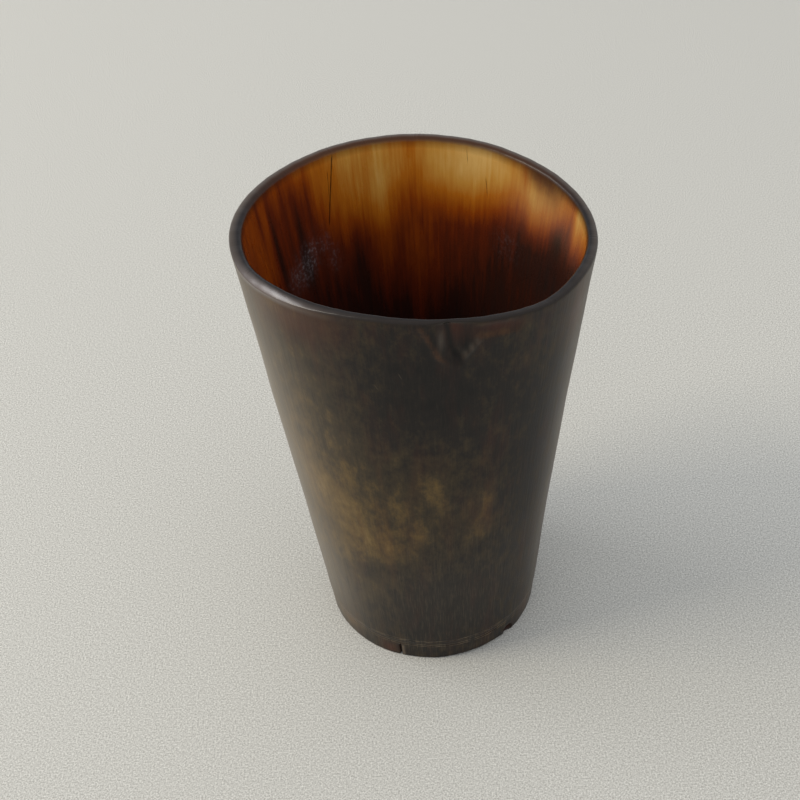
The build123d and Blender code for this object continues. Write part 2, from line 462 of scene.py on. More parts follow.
class Surface:
    """A piece's points in millimetres, each with the angle, height and depth that it was turned from."""

    def __init__(self, mesh):
        self.mesh = mesh
        count = len(mesh.vertices)
        self.place = np.empty(count * 3)
        mesh.vertices.foreach_get("co", self.place)
        self.place = self.place.reshape(-1, 3) / MM
        grain = np.empty(count * 3)
        mesh.attributes["grain"].data.foreach_get("vector", grain)
        grain = grain.reshape(-1, 3) / MM
        depth = np.empty(count)
        mesh.attributes["depth"].data.foreach_get("value", depth)
        self.angle = np.degrees(np.arctan2(grain[:, 1], grain[:, 0]))
        self.height = grain[:, 2]
        self.depth = depth / MM
        self.inside = np.clip(self.depth / wall_at(self.height), 0, 1)
        self.outward = np.column_stack((grain[:, :2] / RIM_RADIUS, np.zeros(count)))

    def turn_from(self, angle):
        """How far each point is round from an angle, in degrees, the short way."""
        return (self.angle - angle + 180) % 360 - 180

    def arc_from(self, angle):
        """How far each point is round from an angle, in millimetres on the outside."""
        radius = FOOT_RADIUS + (RIM_RADIUS - FOOT_RADIUS) * self.height / HEIGHT
        return np.radians(self.turn_from(angle)) * radius

    def patches(self, spots):
        """Soft spots added up: angle, height, half-width in degrees, half-height, strength."""
        total = np.zeros(len(self.angle))
        for angle, height, wide, tall, strength in spots:
            far = (self.turn_from(angle) / wide) ** 2 + ((self.height - height) / tall) ** 2
            total += strength * np.exp(-far)
        return total

    def bumps(self, table):
        """Soft rises round the cup added up: angle, half-width in degrees, rise."""
        return sum(rise * soft(self.turn_from(angle), wide) for angle, wide, rise in table)

    def ragged(self, seed):
        """An uneven line round the cup, from about -1 to 1, the same each time."""
        turn = np.radians(self.angle)
        return sum(size * np.sin(turn * count + seed * count) for count, size in RAGGED_WAVES)

    def keep(self, name, values):
        """Stores a value at each point for the material."""
        self.mesh.attributes.new(name, "FLOAT", "POINT").data.foreach_set("value", values)

    def put_back(self):
        """Writes the moved points to the mesh."""
        self.mesh.vertices.foreach_set("co", (self.place * MM).ravel())
        self.mesh.update()


def wear_rim(wall):
    """The rim's ups and downs, its lip worn thin at the front and right, its outer edge at the left."""
    near = smooth(wall.height, HEIGHT - RIM_REACH, HEIGHT - RIM_FULL)
    wall.place[:, 2] += near * (wall.bumps(RIM_RISES) + RIM_RAGGED * wall.ragged(1))
    thin = wall.bumps(RIM_THINS) * smooth(wall.height, HEIGHT - LIP_REACH, HEIGHT - LIP_FULL) * wall.inside
    wall.place += wall.outward * thin[:, None]
    below = HEIGHT - wall.height
    slope = np.tan(radians(BEVEL_TILT)) * np.clip(BEVEL_WIDTH - wall.depth, 0, None)
    worn_to = slope * wall.bumps(RIM_BEVELS)
    softly = BEVEL_SOFT * np.minimum(below, worn_to)
    wall.place[:, 2] += below - np.hypot(np.maximum(below, worn_to), softly)
    edge = fade(wall.depth, *POLISH_DEPTH) * fade(below, *POLISH_DOWN)
    wall.keep("polish", edge * wall.bumps(RIM_BEVELS) ** POLISH_FALL)


# The scar under the front of the rim, a torn fold that healed as a V
# Its lines: millimetres round from SCAR_ANGLE, and down
SCAR_ANGLE = -80.0
SCAR_LEFT = ((-6.2, 1.5), (-4.6, 5.4), (-3.1, 9.1), (-0.9, 11.3))
SCAR_CREASE = ((-1.6, 0.0), (-0.6, 6.9), (0.9, 9.7))
SCAR_RIGHT = ((4.6, 4.8), (1.5, 9.1))
SCAR_SINK = 0.9
SCAR_LEAST = 0.2         # each of its faces is at least this wide
LEFT_CURVE = 1.6         # the left face is hollow and the right one is full, by these powers
RIGHT_CURVE = 0.7
SCAR_TOP = (-0.5, 1.0)   # it starts between these distances below the rim
SCAR_END = (8.5, 11.8)   # and ends between these
SCAR_LIP = 0.2           # how far its lips are raised
LEFT_LIP_WIDTH = 0.6
LEFT_LIP_TOP = (0.5, 2.0)
RIGHT_LIP_WIDTH = 0.5
RIGHT_LIP_TOP = (3.6, 5.2)
RIGHT_LIP_PALE = 0.3     # how pale the right lip and the hollow's edge are, beside the left lip
HOLLOW_EDGE_PALE = 0.9
CRACK_WIDTH = 0.65       # half-width of the crack along the crease
CRACK_SINK = 0.3
# The hollow to the right of it: round, down, half-width, half-height, sink
HOLLOW = (8.2, 2.7, 4.4, 1.5, 0.35)
HOLLOW_EDGE = 0.6        # half-width of its lower edge


def scar_line(line, below):
    """How far round a line of the scar lies, at each distance below the rim."""
    across, down = zip(*line)
    return np.interp(below, down, across)


def wear_scar(wall):
    """Sinks the faces of the scar to its crease, raises soft lips along its arms, and sinks the hollow."""
    below = HEIGHT - wall.height
    across = wall.arc_from(SCAR_ANGLE)
    left, crease, right = (scar_line(line, below) for line in (SCAR_LEFT, SCAR_CREASE, SCAR_RIGHT))
    on_left = np.clip((across - left) / np.maximum(crease - left, SCAR_LEAST), 0, 1) * (across <= crease)
    on_right = np.clip((right - across) / np.maximum(right - crease, SCAR_LEAST), 0, 1) * (across > crease)
    outside = 1 - wall.inside
    there = smooth(below, *SCAR_TOP) * fade(below, *SCAR_END) * outside
    sink = SCAR_SINK * np.maximum(on_left ** LEFT_CURVE, on_right ** RIGHT_CURVE) * there
    left_lip = soft(across - left, LEFT_LIP_WIDTH) * smooth(below, *LEFT_LIP_TOP) * there
    right_lip = soft(across - right, RIGHT_LIP_WIDTH) * smooth(below, *RIGHT_LIP_TOP) * there
    crack = soft(across - crease, CRACK_WIDTH) * there
    round_at, down_at, wide, tall, depth = HOLLOW
    beside = ((across - round_at) / wide) ** 4
    hollow = np.exp(-beside - ((below - down_at) / tall) ** 4) * outside
    edge = np.exp(-beside - ((below - down_at - tall) / HOLLOW_EDGE) ** 2) * outside
    raise_by = SCAR_LIP * (left_lip + right_lip) - sink - CRACK_SINK * crack - depth * hollow
    wall.place += wall.outward * raise_by[:, None]
    wall.keep("lip", np.clip(left_lip + RIGHT_LIP_PALE * right_lip + HOLLOW_EDGE_PALE * edge, 0, 1))
    wall.keep("crack", crack)


# Damage and wear of the foot
SPLIT_ANGLE = -110.0
SPLIT_HEIGHT = 4.8
SPLIT_HALF_WIDTH = 0.32
SPLIT_OPEN = 0.3         # the share of its half-width that is fully open
SPLIT_DEPTH = 2.2
SPLIT_STRAY = 0.15       # it strays this far from a straight line
SPLIT_END = 1.0          # it closes over this much of its height
SPLIT_LIP = 0.75         # the pale lip lies this far to its right
SPLIT_LIP_WIDTH = 0.3
CHIP_ANGLE = -46.5
CHIP_RADIUS = 1.8
CHIP_OUT = 0.7
CHIP_HEIGHT = 1.3
CHIP_RAW = 0.8           # horn this far below the old surface shows its raw colour
BAND_SINK = 0.15         # the band under the lines stands back by this much
BAND_TOP = (6.2, 7.0)    # the band ends between these heights
BAND_EVEN = 0.7          # how much of its sink is even, and how much is ragged
BAND_RAGGED = 0.3
LINES_LOW = 4.0          # the scribed lines lie between these heights
LINES_HIGH = 8.0
LINE_LEFT = 0.3          # the share of the lines' depth that wear has left, on average
OUTER_SKIN = 0.1         # the outermost share of the wall, which holds the lines
# Where the foot's edge is worn clear of the table: angle, half-width in degrees, rise
FOOT_RISES = ((-66, 18, 0.5), (75, 25, 0.4), (160, 15, 0.3), (0, 14, 0.3))
FOOT_RAGGED = 0.06
FOOT_WORN = (0.5, 4.0)   # this wear fades out between these heights


def wear_foot(wall):
    """The worn edge and band of the foot, and its faded lines."""
    outside = 1 - wall.inside
    low = fade(wall.height, *FOOT_WORN)
    for angle, wide, rise in FOOT_RISES:
        wall.place[:, 2] += rise * low * soft(wall.turn_from(angle), wide, 4)
    wall.place[:, 2] += FOOT_RAGGED * np.clip(wall.ragged(2), 0, None) * low
    band = BAND_SINK * fade(wall.height, *BAND_TOP) * (BAND_EVEN + BAND_RAGGED * wall.ragged(3))
    by_lines = (wall.height > LINES_LOW) * (wall.height < LINES_HIGH) * (wall.inside < OUTER_SKIN)
    filled = wall.depth * by_lines * (1 - LINE_LEFT * (1 + wall.ragged(4)))
    wall.place += wall.outward * (filled - band * outside)[:, None]


def break_foot(wall):
    """The split in the foot, with a pale lip to its right, and the hollow that a lost flake has left."""
    across = wall.arc_from(SPLIT_ANGLE) + SPLIT_STRAY * wall.ragged(5)
    low = fade(wall.height, SPLIT_HEIGHT - SPLIT_END, SPLIT_HEIGHT)
    gap = fade(np.abs(across), SPLIT_HALF_WIDTH * SPLIT_OPEN, SPLIT_HALF_WIDTH) * low
    wall.place -= wall.outward * (gap * np.clip(SPLIT_DEPTH - wall.depth, 0, None))[:, None]
    wall.keep("gap", gap)
    wall.keep("split_lip", soft(across - SPLIT_LIP, SPLIT_LIP_WIDTH) * low * (1 - wall.inside))
    turn = radians(CHIP_ANGLE)
    reach = FOOT_RADIUS + CHIP_OUT
    centre = np.array((reach * cos(turn), reach * sin(turn), CHIP_HEIGHT))
    push = np.array((-cos(turn), -sin(turn), 0.0))
    away = wall.place - centre
    along = away @ push
    room = along ** 2 - (away ** 2).sum(1) + CHIP_RADIUS ** 2
    struck = (away ** 2).sum(1) < CHIP_RADIUS ** 2
    move = np.where(struck, np.sqrt(np.clip(room, 0, None)) - along, 0)
    wall.place += move[:, None] * push
    wall.keep("chip", np.clip(move / CHIP_RAW, 0, 1))


# The pale, clear horn under the rim, seen from inside, with the light that falls on it and comes through it
# painted in as colour: angle, height it reaches down to, how pale it is
GLOW_UNDER_RIM = (
    (-150, 100, 0.42), (-120, 97, 0.60), (-90, 99, 0.58), (-60, 97, 0.62), (-20, 105, 0.66),
    (-6, 106, 0.84), (3, 103.5, 0.97), (9, 102.5, 0.96), (14, 106, 0.83), (18, 105, 0.86),
    (22, 102, 0.92), (27, 101, 0.92), (33, 97, 0.90), (38, 97, 0.88), (44, 99, 0.86), (50, 99, 0.89),
    (56, 98, 0.93), (66, 96, 0.93), (76, 96, 0.91), (84, 97, 0.83), (90, 97, 0.68), (96, 95, 0.77),
    (101, 93, 0.87), (106, 92, 0.70), (113, 92, 0.68), (120, 91, 0.63), (127, 96, 0.56), (134, 99, 0.50),
    (142, 101, 0.40), (150, 98, 0.38), (155, 96, 0.48), (164, 90, 0.48), (175, 93, 0.42),
)
PALE_FADE = 9.0          # it fades to brown over this far, both ways
DEEP_BROWN = 0.34        # the glow just under the pale horn
SHADED_BLACK_HEIGHT = 49.0          # at this height the inside is painted black, as shade deep in the cup
# Soft spots: angle, height, half-width in degrees, half-height, strength
# Inside: darker and lighter streaks in the glow
STREAK_SPOTS = (
    (113, 82, 2.2, 11, -0.13), (126, 97, 1.2, 10, -0.08), (132, 102, 1.6, 9, -0.15),
    (138.5, 97, 2.2, 11, -0.18), (136, 87, 6, 6, -0.08), (144.5, 100, 1.2, 10, -0.10),
    (153.5, 98, 1.8, 12, -0.24), (161, 104, 1.2, 8, -0.12), (87, 72, 5, 20, 0.22), (94, 80, 3, 18, 0.07),
    (80, 78, 3, 12, 0.08), (104, 84, 2.5, 14, 0.10), (33, 87, 12, 7, -0.12), (22, 97, 3, 4, -0.10),
    (60, 78, 4, 12, -0.06), (16, 86, 12, 9, -0.14), (14.5, 104, 1.6, 6, -0.06), (22, 99, 5, 4, -0.08),
    (101, 84, 2.5, 12, 0.10), (40, 78, 14, 8, -0.05), (50, 86, 9, 10, -0.05), (99, 84, 2, 10, 0.14),
    (115, 110, 8, 5.5, 0.17), (136, 110, 6, 5, 0.17), (125, 110, 4, 4, 0.05), (148, 109, 6, 4, 0.07),
    (61, 109, 8, 4, 0.07), (0, 95, 14, 7, -0.14), (164, 88, 8, 9, 0.06),
)
# Inside: smoky brown clouds
SMOKE_SPOTS = (
    (52, 109.5, 6, 2.6, 0.45), (42, 108.8, 6, 3.6, 0.65), (36, 108.2, 5, 4.0, 0.5),
    (29, 108.4, 6, 4.6, 0.75), (21, 108.6, 5, 2.4, 0.4), (14, 109.5, 6, 1.6, 0.4),
    (22, 103.0, 16, 8.0, 0.2), (32, 90.0, 14, 8.0, 0.3), (80, 110.2, 32, 1.1, 0.5),
    (152, 110.1, 32, 1.1, 0.45), (0, 110.0, 20, 1.2, 0.5), (-100, 108.0, 16, 4.0, 0.7),
)
# Inside: a pale veil over the palest horn, which is painted sheen on the lit right wall
MILKY_SHEEN_SPOTS = ((8, 105, 12, 7, 0.10), (27, 104, 12, 6, 0.12), (40, 101, 12, 6, 0.10))
# Outside: olive and ochre patches, on a horn that is this brown between them; the dark spot at -77.2 beside
# the scar's crease is painted shade
OCHRE_BASE = 0.34
OCHRE_SPOTS = (
    (-147, 57, 11, 15, 0.26), (-136, 56, 9, 10, 0.22), (-123, 60, 9, 9, 0.17), (-126, 47, 9, 8, 0.20),
    (-133, 36, 9, 5, 0.28), (-118, 41, 11, 6, 0.20), (-105, 42, 8, 5, 0.18), (-95, 49, 4, 4, 0.18),
    (-88.5, 64.5, 3.5, 4, 0.28), (-84.5, 58.5, 3, 4, 0.20), (-67, 57, 5, 4, 0.26), (-69, 48.5, 5, 4, 0.26),
    (-150, 36, 11, 12, 0.20), (-123, 31.5, 6, 2.5, -0.16), (-120, 26, 9, 5, 0.22), (-122, 78, 7, 6, 0.08),
    (-105, 55, 34, 20, 0.14), (-140, 82, 20, 22, 0.18), (-86, 92, 22, 14, -0.20), (-50, 66, 16, 20, -0.12),
    (-77.2, 105, 2.2, 2.6, -0.3), (-69, 107.6, 5, 0.6, -0.3), (-87, 104.5, 1.8, 3, -0.25),
    (-85, 20, 30, 14, -0.2), (-145, 4.5, 10, 2.0, 0.35), (60, 48, 16, 14, 0.35), (128, 62, 12, 12, 0.32),
    (12, 40, 10, 12, 0.28), (95, 76, 9, 12, 0.20), (-118, 51, 7, 5, 0.10), (-111, 46, 6, 4, 0.12),
    (-102, 58, 6, 5, 0.14), (-139, 107, 9, 3, 0.25), (172, 70, 9, 12, 0.22), (166, 30, 9, 9, 0.2),
)
# Outside: rust under the rim, at the foot and in the ochre
RUST_SPOTS = (
    (-135, 106, 22, 6, 0.75), (-80, 108, 4, 4, 0.6), (-65, 107.6, 8, 1.6, 0.65), (-146, 5, 7, 4, 0.5),
    (-116, 2, 5, 2.5, 0.9), (-29, 4, 6, 4, 0.5), (-67, 53, 5, 8, 0.35), (-112, 45, 16, 8, 0.2),
    (-31, 102, 8, 7, 0.55), (110, 105, 26, 7, 0.4), (30, 4, 12, 4, 0.5),
)
# Outside: a pale veil, mostly at the left, which is painted sheen where the edges catch the light, with a
# few pale specks by the scar
HAZE_AND_SHEEN_SPOTS = (
    (-170, 68, 30, 60, 1.0), (-150, 20, 22, 18, 0.34), (-21, 55, 12, 60, 0.36), (-28, 97, 7, 12, 0.1),
    (10, 60, 24, 50, 0.2), (80, 40, 30, 40, 0.2), (-134, 100, 7, 6, -0.07), (-90, 25, 40, 16, 0.08),
    (171, 93, 12, 15, -0.4), (166, 48, 12, 18, -0.45), (178, 71, 7, 9, -0.3), (177, 22, 8, 10, -0.3),
    (-84.2, 105.3, 1.0, 2.2, 0.2), (-73.2, 104.8, 0.8, 0.9, 0.18), (-75, 103.2, 0.8, 1.0, 0.2),
    (-76.8, 101.6, 0.8, 1.0, 0.16),
)
# Inside: scuffed places, whose pale bluish specks are partly painted glints
SCUFF_AND_GLINT_SPOTS = (
    (148, 84.5, 3.5, 2.5, 0.6), (142.5, 85.5, 3.5, 3, 0.8), (137.5, 86.5, 3, 3, 1.0),
    (134, 88.5, 2.5, 2.5, 0.9), (128, 89, 2.5, 2, 0.6), (124.5, 84, 2.5, 2.5, 0.5), (48, 88, 6, 4, 0.15),
)
# Behind, the clear horn, with the inside's painted glow, shows through to the outside: from one angle to
# another, over this many degrees
CLEAR_BACK = (28, 148, 22)
# The cut faces fade out between these distances from the rim, and these from the foot
CUT_INNER = ((0.1, 1.7), (0.6, 1.4))
CUT_OUTER = ((0.3, 0.9), (0.1, 0.5))


def clear_horn_glow_and_shade(wall):
    """How clear the horn is at each point of the inside, from 0, black, to 1, pale gold, with light through
    the wall painted in near the rim and shade painted in deeper down.
    """
    angles, reach, pale = np.array(sorted(GLOW_UNDER_RIM)).T
    reach = np.interp(wall.angle, angles, reach, period=360)
    pale = np.interp(wall.angle, angles, pale, period=360)
    clear = smooth(wall.height, reach - PALE_FADE, reach + PALE_FADE)
    return DEEP_BROWN * smooth(wall.height, SHADED_BLACK_HEIGHT, reach) + (pale - DEEP_BROWN) * clear


def clear_back(wall):
    """1 where the clear horn at the back shows outside too."""
    first, last, over = CLEAR_BACK
    return smooth(wall.angle, first - over, first + over) * fade(wall.angle, last - over, last + over)


def cut_faces(wall):
    """1 on the cut faces of the rim and the foot, fading out over their worn edges."""
    below = HEIGHT - wall.height
    inner, outer = (
        np.maximum(fade(below, *rim), fade(wall.height, *foot)) for rim, foot in (CUT_INNER, CUT_OUTER)
    )
    return np.where(wall.inside > 0.5, inner, outer)


def tell_materials(wall):
    """Stores where the wall is inside or cut, and where its colour patches are."""
    wall.keep("inside", np.round(wall.inside))
    wall.keep("cut", cut_faces(wall))
    wall.keep("glow", clear_horn_glow_and_shade(wall) + wall.patches(STREAK_SPOTS))
    wall.keep("clear", clear_back(wall))
    wall.keep("ochre", OCHRE_BASE + wall.patches(OCHRE_SPOTS))
    for name, spots in (
        ("smoke", SMOKE_SPOTS),
        ("milky_sheen", MILKY_SHEEN_SPOTS),
        ("haze_and_sheen", HAZE_AND_SHEEN_SPOTS),
        ("rust", RUST_SPOTS),
        ("scuff_and_glint", SCUFF_AND_GLINT_SPOTS),
    ):
        wall.keep(name, wall.patches(spots))


# Materials

# What the wall's points tell its material, apart from the grain
WALL_MARKS = (
    "inside", "depth", "cut", "glow", "clear", "smoke", "milky_sheen", "ochre", "rust", "haze_and_sheen", "scuff_and_glint", "lip",
    "crack", "gap", "split_lip", "chip", "polish",
)
# Patterns drawn out along the grain: name, width, length, detail
GRAIN_PATTERNS = (
    ("fibre", 0.9, 26.0, 4.0),    # horn's own fibres are finer, and are drawn as bundles that show
    ("band", 5.0, 22.0, 3.0),     # streaks of clearer horn
    ("mottle", 3.0, 4.5, 7.0),    # blotches on the outside
    ("scratch", 0.45, 5.0, 2.0),  # fine scratches of the scraper
)
NOISE_ROUGHNESS = 0.7
SPECK_SIZE = 0.8         # between the specks of a scuff
PLATE_STREAK = (16.0, 1.4, 3.3)
WAX_LUMP = 1.1
PAPER_GRAIN = 0.4        # paper's own grain is finer, and is drawn as coarse as it needs to show

# Pale scratches left of the scribed lines, by height
LINE_HEIGHTS = (4.9, 5.6, 7.0)
LINE_HALF_WIDTH = 0.16
LINE_STRAY = 0.8
# Hairline cracks inside and nicks outside: angle and height at the top, the same at the bottom, half-width
CRACKS = (
    (118.5, 109.5, 124.5, 92.5, 0.26), (60.2, 103.0, 59.0, 98.0, 0.11), (68.2, 109.0, 67.6, 105.0, 0.07),
    (121.5, 106.0, 122.6, 99.0, 0.10),
)
NICKS = ((-97.6, 97.0, -96.4, 95.2, 0.16), (-105.6, 93.4, -104.2, 91.8, 0.16))
HAIRLINE_END = 1.2       # cracks and nicks fade out over this length
HAIRLINE_STRAY = 0.012   # and stray by up to about half this, in radians

# Colours of the horn: ramps from dark to pale, and plain ones
AMBER_STOPS = (
    (0.0, "#291d19"), (0.16, "#391d15"), (0.34, "#6a2a12"), (0.5, "#99470e"), (0.68, "#bf701a"),
    (0.85, "#d49a42"), (1.0, "#e4b768"),
)
DARK_STOPS = ((0.0, "#0d0b0a"), (0.25, "#1b1613"), (0.5, "#3b301f"), (0.75, "#66502b"), (1.0, "#876d40"))
# Some of these paint light: the sheen veils and the scuffs' glints, part of the slope's highlight, and the
# shade in the split and the scar's crease, which the dirt colour paints
HORN_CODES = {
    "milky_sheen": "#cdbca0", "smoke": "#46322a", "scuff_and_glint": "#a5a3a6",
    "rust": "#4a2110", "haze_and_sheen": "#968b7b", "scratch": "#7a6a52", "scar lip": "#573821", "line": "#8a7a66",
    "edge in front": "#261f1a", "edge behind": "#544a41",
    "lip in front": "#120c0a", "lip behind": "#40240f",
    "worn slope and its highlight": "#4e3a2c", "raw horn": "#2e120b", "dirt": "#0c0908",
}
HORN = {name: paint(code) for name, code in HORN_CODES.items()}

# How much each pattern stirs the colours, and how far a colour covers what is under it
GLOW_BANDS = 0.36
GLOW_FIBRES = 0.24
GLOW_IN_SMOKE = -0.16
SMOKE_MOTTLE = 0.9
SMOKE_COVER = 0.85
TONE_MOTTLE = 0.95
TONE_FIBRES = 0.16
CLEAR_FROM = 0.3         # behind, horn with more glow than this shows amber outside
RUST_BANDS = 1.2
RUST_COVER = 0.8
HAZE_AND_SHEEN_LEVEL = 0.8
HAZE_AND_SHEEN_MOTTLE = 0.6
HAZE_AND_SHEEN_FIBRES = 0.5
NICK_COVER = 0.35
SPLIT_LIP_COVER = 0.5
# Ranges: from the low to the high of a pattern or a length, and how strongly a colour shows at each
SPECK_RANGE = (0.5, 0.72, 0.06, 0.8)
SCRATCH_RANGE = (0.0, 0.25, 0.0, 1.0)
SCRATCH_HEIGHT = (0.0, 0.6 * HEIGHT * MM, 0.24, 0.04)
LIP_RANGE = (-0.15, 0.2, 0.05, 0.8)
LINE_RANGE = (-0.12, 0.12, 0.0, 0.6)
LIP_DEPTH = (0.7 * MM, 1.8 * MM, 0.0, 1.0)
EDGE_BACK = (-0.6 * RIM_RADIUS * MM, 0.3 * RIM_RADIUS * MM, 0.0, 1.0)
LIP_BACK = (0.1 * RIM_RADIUS * MM, 0.8 * RIM_RADIUS * MM, 0.0, 1.0)

# Finish of the horn
HORN_IOR = 1.54
HORN_SPECULAR = 0.15     # its old surface has lost most of its shine
OUTSIDE_ROUGHNESS = 0.42
CUT_ROUGHNESS = 0.3
INSIDE_ROUGHNESS = 0.3
ROUGHNESS_MOTTLE = 0.3
RIDGE_SCRATCHES = 0.7    # how high the scratches are, beside the fibres
RIDGE_STRENGTH = 0.35
RIDGE_HEIGHT = 0.1
OUTSIDE_COAT = 0.05
WORN_COAT = 0.08         # inside and on the cut faces
COAT_ROUGHNESS = 0.34
COAT_IOR = 1.85          # more than wax has, because the polished slope is as bright as that
# Finish of the disc, of the wax and of the paper: roughness from and to, strength and height of the bump
PLATE_ROUGHNESS = (0.32, 0.55)
PLATE_BUMP = (0.3, 0.15)
WAX_IOR = 1.44
WAX_ROUGHNESS = (0.45, 0.7)
WAX_BUMP = (0.5, 0.15)
PAPER_ROUGHNESS = 0.9
PAPER_SPECULAR = 0.1


def new_material(name):
    """An empty material, and its tree."""
    material = bpy.data.materials.new(name)
    material.use_nodes = True
    material.node_tree.nodes.clear()
    return material, material.node_tree


def end_in_shader(tree, sockets):
    """Ends a material's tree in a shader, whose sockets get plain values or links, and the output."""
    shader = add(tree, "ShaderNodeBsdfPrincipled", sockets)
    add(tree, "ShaderNodeOutputMaterial", {"Surface": shader})


def layered(tree, colour, shares):
    """A colour with some of the horn's plain ones laid over it in turn, each by its share."""
    for name, share in shares.items():
        colour = add(tree, "ShaderNodeMix", (share, colour, HORN[name]), data_type="RGBA")
    return colour


def hairlines(tree, turn, height, stray, lines):
    """1 on thin lines drawn on the unrolled wall, which stray a little, and 0 away from them."""
    drawn = 0.0
    for first, top, last, bottom, half_width in lines:
        slope = radians(last - first) / ((bottom - top) * MM)
        start = radians(first) - slope * top * MM
        middle = add(tree, "ShaderNodeMath", (height, slope, start), operation="MULTIPLY_ADD")
        off = add(tree, "ShaderNodeMath", (turn, middle), operation="SUBTRACT")
        off = add(tree, "ShaderNodeMath", (stray, HAIRLINE_STRAY, off), operation="MULTIPLY_ADD")
        off = add(tree, "ShaderNodeMath", (off,), operation="ABSOLUTE")
        near = add(tree, "ShaderNodeMapRange", (off, 0.0, half_width / RIM_RADIUS, 1.0, 0.0))
        above, below = (bottom + HAIRLINE_END) * MM, (top - HAIRLINE_END) * MM
        lower = add(tree, "ShaderNodeMapRange", (height, bottom * MM, above, 0.0, 1.0))
        upper = add(tree, "ShaderNodeMapRange", (height, below, top * MM, 1.0, 0.0))
        ends = add(tree, "ShaderNodeMath", (lower, upper), operation="MULTIPLY")
        line = add(tree, "ShaderNodeMath", (near, ends), operation="MULTIPLY")
        drawn = add(tree, "ShaderNodeMath", (drawn, line), operation="MAXIMUM")
    return drawn


def grain_patterns(tree, grain):
    """The patterns drawn out along the grain, by name, each from about -0.5 to 0.5."""
    noise = {}
    for name, wide, tall, detail in GRAIN_PATTERNS:
        scale = (1 / (wide * MM), 1 / (wide * MM), 1 / (tall * MM))
        along = add(tree, "ShaderNodeMapping", {"Vector": grain, "Scale": scale})
        settings = {"Vector": along, "Scale": 1.0, "Detail": detail, "Roughness": NOISE_ROUGHNESS}
        seen = add(tree, "ShaderNodeTexNoise", settings)
        noise[name] = add(tree, "ShaderNodeMath", (seen.outputs[0], 0.5), operation="SUBTRACT")
    return noise


def horn_inside(tree, read, noise, grain):
    """Light through the clear horn under the rim, in streaks, painted in as amber colour, with painted
    shade deeper down. Gives that amber, and the inside.
    """
    glow = add(tree, "ShaderNodeMath", (noise["band"], GLOW_BANDS, read["glow"]), operation="MULTIPLY_ADD")
    glow = add(tree, "ShaderNodeMath", (noise["fibre"], GLOW_FIBRES, glow), operation="MULTIPLY_ADD")
    glow = add(tree, "ShaderNodeMath", (read["smoke"], GLOW_IN_SMOKE, glow), operation="MULTIPLY_ADD")
    amber = add(tree, "ShaderNodeValToRGB", (glow,), stops=AMBER_STOPS)
    smoke = (noise["mottle"], SMOKE_MOTTLE, read["smoke"])
    smoke = add(tree, "ShaderNodeMath", smoke, operation="MULTIPLY_ADD")
    smoke = add(tree, "ShaderNodeMath", (smoke, read["smoke"]), operation="MULTIPLY", use_clamp=True)
    smoke = add(tree, "ShaderNodeMath", (smoke, SMOKE_COVER), operation="MULTIPLY")
    specks = {"Vector": grain, "Scale": 1 / (SPECK_SIZE * MM), "Detail": 3.0, "Roughness": NOISE_ROUGHNESS}
    specks = add(tree, "ShaderNodeTexNoise", specks)
    specks = add(tree, "ShaderNodeMapRange", (specks.outputs[0], *SPECK_RANGE))
    specks = add(tree, "ShaderNodeMath", (specks, read["scuff_and_glint"]), operation="MULTIPLY")
    return amber, layered(tree, amber, {"milky_sheen": read["milky_sheen"], "smoke": smoke, "scuff_and_glint": specks})


def horn_outside(tree, read, noise, turn, height, amber):
    """Nearly black, with olive and ochre patches where the horn is thinner, rust under the rim, and painted
    sheen as a pale veil at the left.
    """
    tone = (noise["mottle"], TONE_MOTTLE, read["ochre"])
    tone = add(tree, "ShaderNodeMath", tone, operation="MULTIPLY_ADD")
    tone = add(tree, "ShaderNodeMath", (noise["fibre"], TONE_FIBRES, tone), operation="MULTIPLY_ADD")
    outer = add(tree, "ShaderNodeValToRGB", (tone,), stops=DARK_STOPS)
    shown = add(tree, "ShaderNodeMath", (read["glow"], CLEAR_FROM), operation="SUBTRACT", use_clamp=True)
    shown = add(tree, "ShaderNodeMath", (shown, read["clear"]), operation="MULTIPLY")
    outer = add(tree, "ShaderNodeMix", (shown, outer, amber), data_type="RGBA")
    rust = (noise["band"], RUST_BANDS, read["rust"])
    rust = add(tree, "ShaderNodeMath", rust, operation="MULTIPLY_ADD", use_clamp=True)
    rust = add(tree, "ShaderNodeMath", (rust, RUST_COVER), operation="MULTIPLY")
    haze_and_sheen = add(tree, "ShaderNodeMath", (noise["mottle"], HAZE_AND_SHEEN_MOTTLE, HAZE_AND_SHEEN_LEVEL), operation="MULTIPLY_ADD")
    haze_and_sheen = add(tree, "ShaderNodeMath", (noise["fibre"], HAZE_AND_SHEEN_FIBRES, haze_and_sheen), operation="MULTIPLY_ADD")
    haze_and_sheen = add(tree, "ShaderNodeMath", (haze_and_sheen, read["haze_and_sheen"]), operation="MULTIPLY", use_clamp=True)
    lower = add(tree, "ShaderNodeMapRange", (height, *SCRATCH_HEIGHT))
    scratch = add(tree, "ShaderNodeMapRange", (noise["scratch"], *SCRATCH_RANGE))
    scratch = add(tree, "ShaderNodeMath", (scratch, lower), operation="MULTIPLY")
    lip = add(tree, "ShaderNodeMapRange", (noise["mottle"], *LIP_RANGE))
    lip = add(tree, "ShaderNodeMath", (lip, read["lip"]), operation="MULTIPLY")
    line = pale_lines(tree, read, noise, turn, height)
    shares = {"rust": rust, "haze_and_sheen": haze_and_sheen, "scratch": scratch, "scar lip": lip, "line": line}
    return layered(tree, outer, shares)


